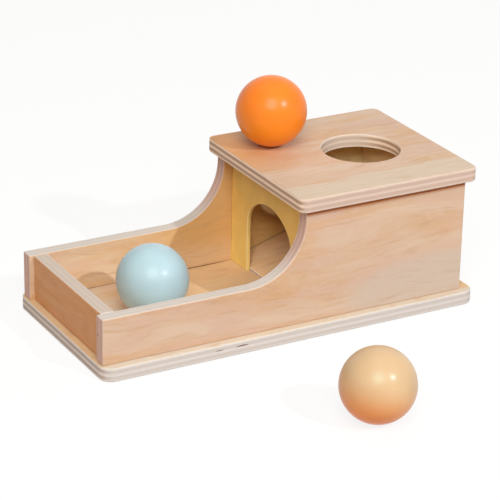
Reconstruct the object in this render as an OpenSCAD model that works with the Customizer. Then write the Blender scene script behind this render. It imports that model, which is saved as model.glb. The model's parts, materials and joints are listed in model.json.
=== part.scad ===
// Object permanence box: a plywood tray with a lidded box at one end.
// A ball goes in through the lid, rolls down the ramp and out under the arch.
// Millimetres, +Z up, +X from the tray to the box.
// The origin is the middle of the base's underside.

/* [Side panels] */
// Length of a side panel along the base
panel_length = 248.5; // [220:0.5:300]
// Length of the tall part of a side panel, under the lid
box_length = 113.5; // [100:0.5:140]
// Width across the outsides of both side panels
panel_spread = 113; // [100:0.5:140]
// Thickness of a side panel
panel_thickness = 9; // [7:0.5:12]
// Height of the tray wall above the base
tray_wall_height = 29.5; // [24:0.5:34]
// Height of the tall part above the base
box_wall_height = 73.5; // [68:0.5:95]
// Radius of the sweep from the tray wall up to the box
sweep_radius = 38; // [24:1:43]

/* [Base] */
// Thickness of the base plate
base_thickness = 9; // [7:0.5:14]
// Reach of the base past the side panels at the tray end
base_front_overhang = 1.5; // [1:0.5:12]
// Reach of the base past the side panels at the box end
base_rear_overhang = 8.5; // [2:0.5:16]
// Reach of the base past the outside of each side panel
base_side_overhang = 5.4; // [2:0.1:14]
// Corner radius of the base, seen from above
base_corner_radius = 8; // [4:0.5:16]
// Rounding of the base's edges
base_edge_radius = 1; // [0.5:0.25:3]

/* [Lid] */
// Thickness of the lid
lid_thickness = 9; // [7:0.5:14]
// Reach of the lid past the side panels towards the tray
lid_front_overhang = 5.8; // [2:0.1:14]
// Reach of the lid past the side panels at the box end
lid_rear_overhang = 6.2; // [2:0.1:14]
// Reach of the lid past the outside of each side panel
lid_side_overhang = 4.3; // [2:0.1:14]
// Corner radius of the lid, seen from above
lid_corner_radius = 5; // [4:0.5:16]
// Rounding of the lid's edges
lid_edge_radius = 1; // [0.5:0.25:3]
// Diameter of the drop hole
hole_diameter = 50; // [47:0.5:56]
// Distance of the drop hole's centre from the side panels' box end
hole_setback = 42; // [38:0.5:54]

/* [End panels] */
// Thickness of the panel that closes the tray
tray_end_thickness = 9; // [7:0.5:12]
// Depth that the tray end sits back between the side panels
tray_end_recess = 2.8; // [1:0.1:8]
// Thickness of the panel that closes the box
box_end_thickness = 9; // [7:0.5:12]
// Depth that the box end sits back between the side panels
box_end_recess = 1.5; // [0.5:0.1:8]

/* [Divider] */
// Thickness of the painted divider
divider_thickness = 2.5; // [2:0.25:5]
// Distance of the divider behind the tall part's front edge
divider_setback = 6.2; // [3:0.1:12]
// Depth of the grooves that hold the divider
groove_depth = 3; // [1.5:0.25:4]
// Width of the arch
arch_width = 54; // [48:0.5:66]
// Height of the arch above the tray floor
arch_height = 54; // [48:0.5:60]
// Rise of the arch's curved top above its straight sides
arch_rise = 20; // [17:0.5:23]
// Radius of the arch's two haunches, where its sides bend over
arch_haunch_radius = 16; // [13:0.5:16.5]

/* [Ramp] */
// Thickness of the ramp board
ramp_thickness = 3; // [2:0.25:5]
// Slope of the ramp, in degrees
ramp_angle = 17.3; // [10:0.1:20]
// Width of the bearer that carries the ramp's top end
bearer_thickness = 9; // [6:0.5:14]

/* [Balls] */
// Diameter of each ball
ball_diameter = 45; // [44.5:0.1:46]
// Place of the orange ball before the drop hole's centre, along the box
orange_before_hole = 48.5; // [40:0.5:60]
// Place of the orange ball beside the drop hole's centre, across the box
orange_beside_hole = 29.5; // [0:0.5:32]
// Place of the blue ball's centre from the tray end panel's inner face
blue_from_tray_end = 46.7; // [25:0.1:90]
// Place of the blue ball across the tray
blue_across = -4; // [-20:0.5:20]
// Place of the peach ball's centre before the base's middle
peach_before_middle = 11.5; // [-60:0.5:60]
// Distance of the peach ball's centre from the base's near edge
peach_from_base = 109.6; // [40:0.1:150]

/* [Screws and dowels] */
// Length of a base screw
screw_length = 25; // [20:0.5:30]
// Diameter of a base screw's shank
screw_diameter = 4; // [3:0.25:5]
// Diameter of a base screw's head
screw_head_diameter = 7.5; // [6:0.25:9]
// Distance of the outer screws from the ends of the side panels
screw_inset = 30; // [24:0.5:45]
// Diameter of a dowel
dowel_diameter = 5; // [4:0.25:6]
// Length of a dowel
dowel_length = 16; // [12:0.5:20]
// Depth of a dowel in the face that it enters
dowel_face_depth = 5; // [3:0.25:6]
// Distance of the lid's outer dowels from the ends of the tall part
lid_dowel_inset = 18; // [14:0.5:30]
// Distance of the end panels' dowels from the panels' edges
end_dowel_inset = 8; // [6:0.5:10]

/* [Fits] */
// Gap round a piece that slides into a groove or between panels
slip_fit = 0.15; // [0.05:0.05:0.4]
// Gap round a screw or dowel in its hole
pin_fit = 0.05; // [0.02:0.01:0.2]
// Gap under a ball that rests on the box
ball_gap = 0.3; // [0.1:0.05:0.5]

/* [Hidden] */
$fn = 64;
cut_overrun = 1;

// Places along the box
base_length = panel_length + base_front_overhang + base_rear_overhang;
panel_front = base_front_overhang - base_length / 2;
panel_rear = panel_front + panel_length;
box_front = panel_rear - box_length;
tray_end_front = panel_front + tray_end_recess;
tray_end_inside = tray_end_front + tray_end_thickness;
box_end_rear = panel_rear - box_end_recess;
box_end_inside = box_end_rear - box_end_thickness;
divider_front = box_front + divider_setback;
divider_rear = divider_front + divider_thickness;
hole_x = panel_rear - hole_setback;
lid_length = box_length + lid_front_overhang + lid_rear_overhang;
lid_middle = box_front - lid_front_overhang + lid_length / 2;

// Places across the box
base_width = panel_spread + 2 * base_side_overhang;
lid_width = panel_spread + 2 * lid_side_overhang;
inside_width = panel_spread - 2 * panel_thickness;
panel_middle = (panel_spread - panel_thickness) / 2;

// Heights
floor_z = base_thickness;
lid_z = floor_z + box_wall_height;
lid_top = lid_z + lid_thickness;

// The ramp's toe stands this share of the board's thickness above the tray floor
ramp_toe_share = 0.65;
ramp_front = divider_rear + slip_fit;
ramp_rear = box_end_inside - slip_fit;
ramp_toe = ramp_toe_share * ramp_thickness;
ramp_depth = ramp_thickness / cos(ramp_angle);
function ramp_top(x) = floor_z + ramp_toe + (x - ramp_front) * tan(ramp_angle);
function ramp_under(x) = ramp_top(x) - ramp_depth;
ramp_lift = ramp_front + (ramp_depth - ramp_toe) / tan(ramp_angle);

// Screws: the head is sunk below the base, and its cross slot is shares of the head
head_sink = 0.4;
head_height = (screw_head_diameter - screw_diameter) / 2;
point_length = screw_diameter;
slot_width_share = 0.13;
slot_length_share = 0.5;
slot_depth_share = 0.7;
screw_places = [panel_front + screw_inset, (panel_front + panel_rear) / 2, panel_rear - screw_inset];

// Dowels
dowel_edge_depth = dowel_length - dowel_face_depth;
lid_dowel_places = [box_front + lid_dowel_inset, (box_front + panel_rear) / 2, panel_rear - lid_dowel_inset];
tray_dowel_heights = [floor_z + end_dowel_inset, floor_z + tray_wall_height - end_dowel_inset];
box_dowel_heights = [floor_z + end_dowel_inset, lid_z - end_dowel_inset];
tray_dowel_x = tray_end_front + tray_end_thickness / 2;
box_dowel_x = box_end_inside + box_end_thickness / 2;

// Colours
ply_colour = [0.86, 0.72, 0.59];
edge_colour = [0.82, 0.78, 0.72];
yellow_paint = [0.85, 0.65, 0.33];
beech_colour = [0.83, 0.66, 0.47];
steel_colour = [0.70, 0.70, 0.72];
orange_paint = [0.96, 0.53, 0.17];
blue_paint = [0.72, 0.84, 0.87];
peach_paint = [0.95, 0.76, 0.57];

// Half of a plate's edge: reach is outwards, and the two outer corners are round
module edge_section(reach, thickness, edge_radius) {
  translate([0, edge_radius]) square([reach, thickness - 2 * edge_radius]);
  square([reach - edge_radius, thickness]);
  for (y = [edge_radius, thickness - edge_radius])
    translate([reach - edge_radius, y]) circle(r = edge_radius);
}

// One straight side of a rounded plate, at x = half the plate's size
module plate_side(half, run, corner_radius, thickness, edge_radius) {
  rotate([90, 0, 0])
    linear_extrude(height = run, center = true)
      translate([half - corner_radius, 0]) edge_section(corner_radius, thickness, edge_radius);
}

// A plate with round corners and round edges, standing on z = 0
module rounded_plate(length, width, thickness, corner_radius, edge_radius) {
  run_x = length - 2 * corner_radius;
  run_y = width - 2 * corner_radius;
  translate([-run_x / 2, -run_y / 2, 0]) cube([run_x, run_y, thickness]);
  for (turn = [0, 180]) {
    rotate(turn) plate_side(length / 2, run_y, corner_radius, thickness, edge_radius);
    rotate(turn + 90) plate_side(width / 2, run_x, corner_radius, thickness, edge_radius);
  }
  for (turn = [0, 180]) {
    rotate(turn) translate([run_x / 2, run_y / 2, 0])
      rotate_extrude(angle = 90) edge_section(corner_radius, thickness, edge_radius);
    rotate(turn) translate([run_x / 2, -run_y / 2, 0])
      rotate(-90) rotate_extrude(angle = 90) edge_section(corner_radius, thickness, edge_radius);
  }
}

// Outline of a side panel: tray wall, sweep and tall part
module side_outline() {
  square([panel_length, tray_wall_height]);
  translate([panel_length - box_length, 0]) square([box_length, box_wall_height]);
  intersection() {
    square([panel_length, box_wall_height]);
    translate([panel_length - box_length - sweep_radius, tray_wall_height]) difference() {
      square(sweep_radius);
      translate([0, sweep_radius]) circle(r = sweep_radius);
    }
  }
}

// A side panel before its holes are drilled; side is -1 for the near one and 1 for the far one
module side_blank(side) {
  translate([panel_front, side * panel_middle + panel_thickness / 2, floor_z])
    rotate([90, 0, 0]) linear_extrude(height = panel_thickness) side_outline();
}

// The groove for the divider, in the inner face of one side panel
module divider_groove(side) {
  width = divider_thickness + 2 * slip_fit;
  depth = groove_depth + cut_overrun;
  middle = inside_width / 2 + (groove_depth - cut_overrun) / 2;
  translate([divider_front - slip_fit, side * middle - depth / 2, floor_z - cut_overrun])
    cube([width, depth, box_wall_height + 2 * cut_overrun]);
}

// A countersunk screw that points up from the base's underside, grown by gap
module screw_body(gap) {
  head_radius = screw_head_diameter / 2 + gap;
  shank_radius = screw_diameter / 2 + gap;
  straight = screw_length - head_height - point_length;
  cylinder(r1 = head_radius, r2 = shank_radius, h = head_height);
  translate([0, 0, head_height]) cylinder(r = shank_radius, h = straight);
  translate([0, 0, head_height + straight]) cylinder(r1 = shank_radius, r2 = gap, h = point_length + gap);
}

// The screw holes: shank, countersink and the sink below the head
module screw_holes() {
  for (side = [-1, 1], x = screw_places)
    translate([x, side * panel_middle, head_sink]) {
      screw_body(pin_fit);
      translate([0, 0, -head_sink - cut_overrun])
        cylinder(r = screw_head_diameter / 2 + pin_fit, h = head_sink + cut_overrun);
    }
}

// A dowel along Z from z = 0, grown by gap
module dowel(gap) {
  translate([0, 0, -gap]) cylinder(r = dowel_diameter / 2 + gap, h = dowel_length + 2 * gap);
}

// The lid's dowels, upright between the tall part's edges and the lid
module lid_dowel_set(gap) {
  for (side = [-1, 1], x = lid_dowel_places)
    translate([x, side * panel_middle, lid_z - dowel_edge_depth]) dowel(gap);
}

// Dowels that run across from the side panels into the ends of an end panel
module end_dowel_set(x, heights, gap) {
  for (side = [-1, 1], z = heights)
    translate([x, side * (inside_width / 2 - dowel_edge_depth), z]) rotate([-side * 90, 0, 0]) dowel(gap);
}

// A side panel with its groove and holes
module side_panel(side) {
  color(ply_colour) difference() {
    side_blank(side);
    divider_groove(side);
    screw_holes();
    lid_dowel_set(pin_fit);
    end_dowel_set(tray_dowel_x, tray_dowel_heights, pin_fit);
    end_dowel_set(box_dowel_x, box_dowel_heights, pin_fit);
  }
}

// A panel between the side panels, standing on the base
module end_blank(x, thickness, height) {
  width = inside_width - 2 * slip_fit;
  translate([x, -width / 2, floor_z]) cube([thickness, width, height]);
}

// A long bar across the box, with its section given as points in X and Z
module cross_bar(points) {
  width = inside_width - 2 * slip_fit;
  translate([0, width / 2, 0]) rotate([90, 0, 0]) linear_extrude(height = width) polygon(points);
}

// A ball with its centre at a place
module ball(place) {
  translate(place) sphere(d = ball_diameter);
}

module base_plate() {
  color(edge_colour) difference() {
    rounded_plate(base_length, base_width, base_thickness, base_corner_radius, base_edge_radius);
    screw_holes();
  }
}

module near_side_panel() {
  side_panel(-1);
}

module far_side_panel() {
  side_panel(1);
}

module tray_end_panel() {
  color(ply_colour) difference() {
    end_blank(tray_end_front, tray_end_thickness, tray_wall_height);
    end_dowel_set(tray_dowel_x, tray_dowel_heights, pin_fit);
  }
}

module box_end_panel() {
  color(ply_colour) difference() {
    end_blank(box_end_inside, box_end_thickness, box_wall_height);
    end_dowel_set(box_dowel_x, box_dowel_heights, pin_fit);
  }
}

// A low arch from three arcs: a wide crown that runs smoothly into two haunches
module arch_outline() {
  half = arch_width / 2;
  spring = arch_height - arch_rise;
  haunch_y = half - arch_haunch_radius;
  crown_radius = (pow(haunch_y, 2) + pow(arch_rise, 2) - pow(arch_haunch_radius, 2))
    / (2 * (arch_rise - arch_haunch_radius));
  crown_z = arch_height - crown_radius;
  join_y = haunch_y * crown_radius / (crown_radius - arch_haunch_radius);
  translate([-half, -cut_overrun]) square([arch_width, spring + cut_overrun]);
  for (side = [-1, 1])
    translate([side * haunch_y, spring]) circle(r = arch_haunch_radius);
  intersection() {
    translate([0, crown_z]) circle(r = crown_radius);
    translate([-join_y, 0]) square([2 * join_y, arch_height]);
  }
}

// The divider slides into the side panels' grooves, and its arch is open at the floor
module divider_panel() {
  width = inside_width + 2 * (groove_depth - slip_fit);
  color(yellow_paint)
    translate([divider_front, 0, floor_z]) rotate([90, 0, 90])
      linear_extrude(height = divider_thickness) difference() {
        translate([-width / 2, 0]) square([width, box_wall_height]);
        arch_outline();
      }
}

module lid_panel() {
  color(ply_colour) difference() {
    translate([lid_middle, 0, lid_z])
      rounded_plate(lid_length, lid_width, lid_thickness, lid_corner_radius, lid_edge_radius);
    translate([hole_x, 0, lid_z - cut_overrun]) cylinder(d = hole_diameter, h = lid_thickness + 2 * cut_overrun);
    lid_dowel_set(pin_fit);
  }
}

// The ramp rests on the base behind the divider and rises to the box end
module ramp_board() {
  color(ply_colour) cross_bar([
    [ramp_front, floor_z],
    [ramp_front, ramp_top(ramp_front)],
    [ramp_rear, ramp_top(ramp_rear)],
    [ramp_rear, ramp_under(ramp_rear)],
    [ramp_lift, floor_z]
  ]);
}

// The bearer stands on the base against the box end, under the ramp's top end
module ramp_bearer() {
  bearer_rear = box_end_inside - slip_fit;
  bearer_front = bearer_rear - bearer_thickness;
  color(beech_colour) cross_bar([
    [bearer_front, floor_z],
    [bearer_front, ramp_under(bearer_front)],
    [bearer_rear, ramp_under(bearer_rear)],
    [bearer_rear, floor_z]
  ]);
}

module base_screws() {
  slot_length = slot_length_share * screw_head_diameter;
  slot_width = slot_width_share * screw_head_diameter;
  slot_depth = slot_depth_share * head_height;
  color(steel_colour) for (side = [-1, 1], x = screw_places)
    translate([x, side * panel_middle, head_sink]) difference() {
      screw_body(0);
      for (turn = [0, 90])
        rotate(turn) translate([-slot_length / 2, -slot_width / 2, -cut_overrun])
          cube([slot_length, slot_width, slot_depth + cut_overrun]);
    }
}

module lid_dowels() {
  color(beech_colour) lid_dowel_set(0);
}

module tray_end_dowels() {
  color(beech_colour) end_dowel_set(tray_dowel_x, tray_dowel_heights, 0);
}

module box_end_dowels() {
  color(beech_colour) end_dowel_set(box_dowel_x, box_dowel_heights, 0);
}

// The orange ball rests on the lid, before the drop hole
module orange_ball() {
  color(orange_paint)
    ball([hole_x - orange_before_hole, orange_beside_hole, lid_top + ball_gap + ball_diameter / 2]);
}

// The blue ball has come out of the box and lies in the tray
module blue_ball() {
  color(blue_paint)
    ball([tray_end_inside + blue_from_tray_end, blue_across, floor_z + ball_gap + ball_diameter / 2]);
}

// The peach ball lies beside the box, on the same surface as the base
module peach_ball() {
  color(peach_paint) ball([-peach_before_middle, -base_width / 2 - peach_from_base, ball_diameter / 2]);
}

base_plate();
near_side_panel();
far_side_panel();
tray_end_panel();
box_end_panel();
divider_panel();
lid_panel();
ramp_board();
ramp_bearer();
base_screws();
lid_dowels();
tray_end_dowels();
box_end_dowels();
orange_ball();
blue_ball();
peach_ball();
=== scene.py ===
"""Finishes the object permanence box: eased plywood boards, painted balls and a soft white studio."""

import json
import math
from typing import NamedTuple

import bmesh
import bpy
from mathutils import Matrix, Vector


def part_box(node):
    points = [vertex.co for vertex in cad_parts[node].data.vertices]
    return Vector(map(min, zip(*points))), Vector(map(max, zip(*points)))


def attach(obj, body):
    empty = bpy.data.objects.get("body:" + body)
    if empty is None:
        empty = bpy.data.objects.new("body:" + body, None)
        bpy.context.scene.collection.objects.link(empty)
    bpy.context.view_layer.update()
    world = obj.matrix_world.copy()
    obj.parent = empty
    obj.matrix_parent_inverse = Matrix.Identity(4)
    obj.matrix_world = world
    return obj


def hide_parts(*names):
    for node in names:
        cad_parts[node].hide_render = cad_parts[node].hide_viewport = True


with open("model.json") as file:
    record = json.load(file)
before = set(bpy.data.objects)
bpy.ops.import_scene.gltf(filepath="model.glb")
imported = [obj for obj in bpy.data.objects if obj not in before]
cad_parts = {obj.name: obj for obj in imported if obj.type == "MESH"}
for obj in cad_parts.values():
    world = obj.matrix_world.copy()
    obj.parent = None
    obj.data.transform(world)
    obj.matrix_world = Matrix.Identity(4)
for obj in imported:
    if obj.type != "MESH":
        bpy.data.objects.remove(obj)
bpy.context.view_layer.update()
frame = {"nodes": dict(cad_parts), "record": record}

bl_info = {
    "name": "Object permanence box",
    "version": (1, 0, 0),
    "blender": (4, 5, 0),
    "location": "3D View > Sidebar > Ball box",
    "description": "Dresses a plywood ball drop box with its boards, balls, fixings and studio",
    "category": "Object",
}

MM = 0.001
BOX = "box"
X, Y, Z = range(3)
# The name of the face attribute that marks eased edges
EASED = "eased"


def srgb(red, green, blue):
    """The linear colour of 8-bit display values."""
    def linear(value):
        share = value / 255
        return share / 12.92 if share <= 0.04045 else ((share + 0.055) / 1.055) ** 2.4
    return linear(red), linear(green), linear(blue)


def opaque(colour):
    """A colour with full alpha, as node sockets take it."""
    return (*colour, 1.0)


# Settings

def colour_choice(name, description, default):
    return bpy.props.FloatVectorProperty(
        name=name, description=description, default=default, subtype="COLOR", min=0.0, max=1.0)


def length_choice(name, description, millimetres):
    return bpy.props.FloatProperty(
        name=name, description=description, default=millimetres * MM, unit="LENGTH", min=0.0, precision=5)


def share_choice(name, description, default):
    return bpy.props.FloatProperty(
        name=name, description=description, default=default, subtype="FACTOR", min=0.0, max=1.0)


def count_choice(name, description, default, lowest):
    return bpy.props.IntProperty(name=name, description=description, default=default, min=lowest)


def power_choice(name, description, watts):
    return bpy.props.FloatProperty(name=name, description=description, default=watts, unit="POWER")


def angle_choice(name, description, degrees):
    return bpy.props.FloatProperty(
        name=name, description=description, default=math.radians(degrees), subtype="ANGLE")


class BoardSettings(bpy.types.PropertyGroup):
    """Sizes and colours of the plywood boards."""
    easing: length_choice("Easing", "Width of the sanded easing along a sawn edge", 0.8)
    thin_easing: length_choice("Thin easing", "Width of the easing on the thin sheets", 0.5)
    plies: count_choice("Plies", "Layers in a board", 5, 3)
    pale_veneer: colour_choice("Pale veneer", "Lighter bands of the face veneer", srgb(225, 194, 170))
    tan_veneer: colour_choice("Tan veneer", "Darker bands of the face veneer", srgb(218, 175, 141))
    rosy_veneer: colour_choice("Rosy veneer", "Broad pinkish patches of the veneer", srgb(221, 182, 160))
    warm_veneer: colour_choice("Warm veneer", "Broad orange patches of the veneer", srgb(222, 172, 126))
    late_line: colour_choice("Late wood", "Thin brown lines of the veneer's figure", srgb(192, 140, 98))
    sapwood: colour_choice("Sapwood", "The pale strip along one side of the lid", srgb(223, 199, 176))
    # The lid's warm brown end is partly its heartwood and partly painted shade and orange bounce light
    # beside the orange ball
    heartwood_and_shade: colour_choice("Heartwood", "The warm brown end of the lid", srgb(225, 157, 92))
    pale_patch: colour_choice("Pale patch", "Greyish pale areas of the veneer", srgb(214, 194, 178))
    # Golden veneer, also laid on the tray's floor and far wall beside the box as painted warm shade
    honey_and_shade: colour_choice(
        "Honey veneer", "Golden areas of the tray's floor and far wall", srgb(226, 172, 110))
    # Painted light and shade inside the lidded box: inner is laid paler to paint light there, lit_inner
    # paints more light low down, and inner_shade paints shade on the wall behind the arch
    inner: colour_choice("Inner veneer", "Pale veneer inside the lidded box", srgb(240, 198, 140))
    lit_inner: colour_choice(
        "Lit inner veneer", "Paler veneer low inside the lidded box", srgb(255, 234, 192))
    inner_shade: colour_choice(
        "Inner shade", "Darker veneer on the wall behind the arch", srgb(150, 96, 56))
    # Painted shadow: the dark line that the lid's overhang throws along the top of the near side
    lid_shadow: colour_choice(
        "Joint", "The stained line where the near side meets the lid", srgb(190, 104, 50))
    pore: colour_choice("Pores", "Short dark flecks along the grain", srgb(186, 138, 98))
    sanded: colour_choice("Sanded edge", "The pale line where an edge was eased", srgb(235, 225, 214))
    sanded_share: share_choice("Sanded share", "How strongly the sanded edges show", 0.45)
    pale_edge: colour_choice(
        "Plies on long edges", "Long plies on edges along the grain", srgb(221, 211, 211))
    dark_edge: colour_choice(
        "Cross plies on long edges", "Cross plies on edges along the grain", srgb(204, 190, 186))
    pale_end: colour_choice(
        "Plies on ends", "Long plies where the board is cut across", srgb(234, 224, 221))
    dark_end: colour_choice(
        "Cross plies on ends", "Cross plies where the board is cut across", srgb(177, 154, 143))
    glue_line: colour_choice("Glue line", "The thin dark line between two plies", srgb(160, 130, 110))
    gap_shadow: colour_choice("Core gap", "The shadow inside a gap in a ply or a joint", srgb(92, 58, 38))
    roughness: share_choice("Roughness", "Roughness of the sealed veneer", 0.55)


class PaintSettings(bpy.types.PropertyGroup):
    """Colours of the painted pieces."""
    mustard: colour_choice("Mustard", "Paint of the divider", srgb(253, 209, 121))
    worn_mustard: colour_choice("Worn mustard", "The divider's eased edges", srgb(250, 232, 184))
    orange: colour_choice("Orange", "Paint of the ball on the lid", srgb(246, 130, 38))
    blue: colour_choice("Blue", "Paint of the ball in the tray", srgb(179, 206, 215))
    peach: colour_choice("Peach", "Paint of the ball beside the box", srgb(214, 178, 138))
    # Painted bounce light: the shade that each ball's paint takes low down, standing in for light thrown up
    # at it from below
    orange_underside: colour_choice(
        "Orange underside", "Paint low on the orange ball", srgb(252, 147, 32))
    blue_underside: colour_choice("Blue underside", "Paint low on the blue ball", srgb(211, 244, 249))
    peach_underside: colour_choice("Peach underside", "Paint low on the peach ball", srgb(252, 137, 30))
    orange_gloss: colour_choice("Orange gloss", "Tint of the orange ball's gloss", (0.7, 0.7, 0.8))
    blue_gloss: colour_choice("Blue gloss", "Tint of the blue ball's gloss", (0.75, 0.65, 0.65))
    peach_gloss: colour_choice("Peach gloss", "Tint of the peach ball's gloss", (0.2, 1.0, 1.0))
    ball_roughness: share_choice("Ball roughness", "Roughness of the satin ball paint", 0.29)
    sheet_roughness: share_choice("Sheet roughness", "Roughness of the divider's matt paint", 0.55)


class BallSettings(bpy.types.PropertyGroup):
    """How the balls are turned."""
    faces_per_side: count_choice("Faces per side", "Mesh faces along each of a ball's six sides", 40, 8)
    out_of_round: length_choice("Out of round", "How far a turned ball dips below a true sphere", 0.05)


class FixingSettings(bpy.types.PropertyGroup):
    """Sizes and colours of the screws, the dowels and the bearer."""
    flutes: count_choice("Flutes", "Glue flutes round a dowel", 14, 6)
    flute_depth: length_choice("Flute depth", "Depth of a dowel's glue flutes", 0.18)
    dowel_chamfer: length_choice("Dowel chamfer", "Length of the chamfer at a dowel's ends", 0.9)
    thread_pitch: length_choice("Thread pitch", "Rise of the screw thread in one turn", 1.8)
    thread_depth: length_choice("Thread depth", "Height of the screw thread over its core", 0.55)
    slot_width: length_choice("Slot width", "Width of the cross slot in a screw's head", 1.0)
    slot_length: length_choice("Slot length", "Length of the cross slot in a screw's head", 3.75)
    slot_depth: length_choice("Slot depth", "Depth of the cross slot in a screw's head", 1.2)
    pale_beech: colour_choice("Pale beech", "Lighter fibres of the beech", srgb(216, 176, 132))
    brown_beech: colour_choice("Brown beech", "Darker fibres of the beech", srgb(196, 150, 106))
    beech_ray: colour_choice("Beech rays", "Short brown flecks of the beech", srgb(150, 100, 62))
    bright_zinc: colour_choice("Bright zinc", "Lighter clouds of the plating", srgb(196, 198, 202))
    dull_zinc: colour_choice("Dull zinc", "Darker clouds of the plating", srgb(160, 163, 170))


class StudioSettings(bpy.types.PropertyGroup):
    """Lamps, floor and camera."""
    key_power: power_choice("Key power", "Large soft lamp above the camera", 36.6)
    key_colour: colour_choice("Key colour", "Colour of the large lamp", (1.0, 0.977, 0.9))
    side_power: power_choice("Side power", "Small lamp to the right of the camera", 29.6)
    side_colour: colour_choice("Side colour", "Colour of the small lamp", (0.88, 0.94, 1.0))
    top_power: power_choice("Top power", "Wide lamp overhead", 10.3)
    top_colour: colour_choice("Top colour", "Colour of the wide lamp", (1.0, 0.993, 0.99))
    left_power: power_choice("Left power", "Broad lamp beyond the tray", 4.4)
    left_colour: colour_choice("Left colour", "Colour of the lamp beyond the tray", (1.0, 0.976, 0.97))
    right_power: power_choice("Right power", "Broad lamp beyond the box end", 3.4)
    right_colour: colour_choice("Right colour", "Colour of the lamp beyond the box end", (1.0, 1.0, 1.0))
    back_power: power_choice("Back power", "Broad low lamp behind the box", 12.0)
    back_colour: colour_choice("Back colour", "Colour of the lamp behind the box", (1.0, 1.0, 1.0))
    fill: share_choice("Fill", "Strength of the even light from all round", 0.04)
    fill_colour: colour_choice("Fill colour", "Colour of the even light", (1.0, 0.72, 0.45))
    floor: colour_choice("Floor", "Colour of the floor as it is seen", srgb(250, 249, 247))
    floor_bounce: colour_choice(
        "Floor bounce", "Light that the floor throws back at the box", (0.55, 0.5, 0.44))
    floor_glow: share_choice("Floor glow", "Share of plain white in the floor as the camera sees it", 0.85)
    lens: bpy.props.FloatProperty(name="Lens", description="Focal length in millimetres", default=165.35)
    azimuth: angle_choice("Azimuth", "Turn of the camera from the near side", -29.361)
    elevation: angle_choice("Elevation", "Height of the camera as an angle", 23.214)
    roll: angle_choice("Roll", "Lean of the camera", 1.204)
    distance: bpy.props.FloatProperty(
        name="Distance", description="From the camera to its aim", default=1.42438, unit="LENGTH")
    aim: bpy.props.FloatVectorProperty(
        name="Aim", description="The point that the camera looks at", subtype="TRANSLATION",
        default=(-0.00105, -0.00281, 0.03809))


# Patterns and marks

class Span(NamedTuple):
    """Where something comes in: the value where it starts, the one where it is full, and its full share."""
    start: float
    full: float
    share: float = 1.0


class Pattern(NamedTuple):
    """A noise pattern: its sizes in millimetres, the seed that it adds to its piece's seed, its detail and
    roughness, and the strengths between which it shows."""
    sizes: tuple
    seed: float
    detail: float = 2.0
    roughness: float = 0.5
    span: Span = Span(0.0, 1.0)


class Relief(NamedTuple):
    """How deep a surface's pattern is, in millimetres, and how strongly it shows."""
    depth: float
    strength: float


class Mark(NamedTuple):
    """A soft blot in a finish: its centre and radii in millimetres, and its strength."""
    centre: tuple
    radii: tuple
    strength: float


# Node trees

# How far each axis moves a pattern along for each unit of its seed
SEED_STEPS = (1.0, 3.7, 7.9)
# Socket numbers of a node that mixes colours, and of one that mixes plain numbers
MIX_SHARE = 0
FIRST_COLOUR, SECOND_COLOUR, MIXED_COLOUR = 6, 7, 2
FIRST_NUMBER, SECOND_NUMBER, MIXED_NUMBER = 2, 3, 0


class Graph:
    """Adds nodes to a tree, with each input given as a value or as another node's output."""

    def __init__(self, tree):
        self.tree = tree
        tree.nodes.clear()

    def add(self, kind, inputs=None, **settings):
        node = self.tree.nodes.new(kind)
        for name, value in settings.items():
            setattr(node, name, value)
        for key, value in (inputs or {}).items():
            self.feed(node.inputs[key], value)
        return node

    def feed(self, socket, value):
        """Links another node's output to a socket, or sets the socket to a plain value."""
        if isinstance(value, bpy.types.NodeSocket):
            self.tree.links.new(value, socket)
        else:
            socket.default_value = value

    def math(self, operation, first, second=0.0, third=0.0):
        node = self.add("ShaderNodeMath", {0: first, 1: second, 2: third}, operation=operation)
        return node.outputs[0]

    def product(self, *factors):
        """All the factors multiplied together."""
        whole = factors[0]
        for factor in factors[1:]:
            whole = self.math("MULTIPLY", whole, factor)
        return whole

    def vector(self, operation, first, second=(0, 0, 0), third=(0, 0, 0)):
        node = self.add("ShaderNodeVectorMath", {0: first, 1: second, 2: third}, operation=operation)
        scalar = operation in ("DOT_PRODUCT", "LENGTH")
        return node.outputs["Value" if scalar else "Vector"]

    def split(self, place):
        return self.add("ShaderNodeSeparateXYZ", {0: place}).outputs

    def join(self, x, y, z):
        return self.add("ShaderNodeCombineXYZ", {0: x, 1: y, 2: z}).outputs[0]

    def rise(self, value, low, high, to_low=0.0, to_high=1.0):
        """A smooth step from to_low to to_high as the value goes from low to high."""
        inputs = {0: value, 1: low, 2: high, 3: to_low, 4: to_high}
        return self.add("ShaderNodeMapRange", inputs, interpolation_type="SMOOTHSTEP").outputs[0]

    def come_in(self, value, span, strength=1.0):
        """The share in which something shows at a value, times a strength."""
        return self.rise(value, span.start, span.full, 0.0, span.share * strength)

    def noise(self, place, detail=2.0, roughness=0.5):
        inputs = {"Vector": place, "Scale": 1.0, "Detail": detail, "Roughness": roughness}
        return self.add("ShaderNodeTexNoise", inputs).outputs[0]

    def pattern(self, place, pattern, seed=0.0):
        """The strength of a noise pattern at a place in millimetres, on a piece with its own seed."""
        shares = tuple(1 / size for size in pattern.sizes)
        offset = tuple((seed + pattern.seed) * step for step in SEED_STEPS)
        spread = self.vector("MULTIPLY_ADD", place, shares, offset)
        return self.noise(spread, pattern.detail, pattern.roughness)

    def seen(self, place, pattern, seed=0.0):
        """The share in which a noise pattern shows at a place."""
        return self.come_in(self.pattern(place, pattern, seed), pattern.span)


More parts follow.
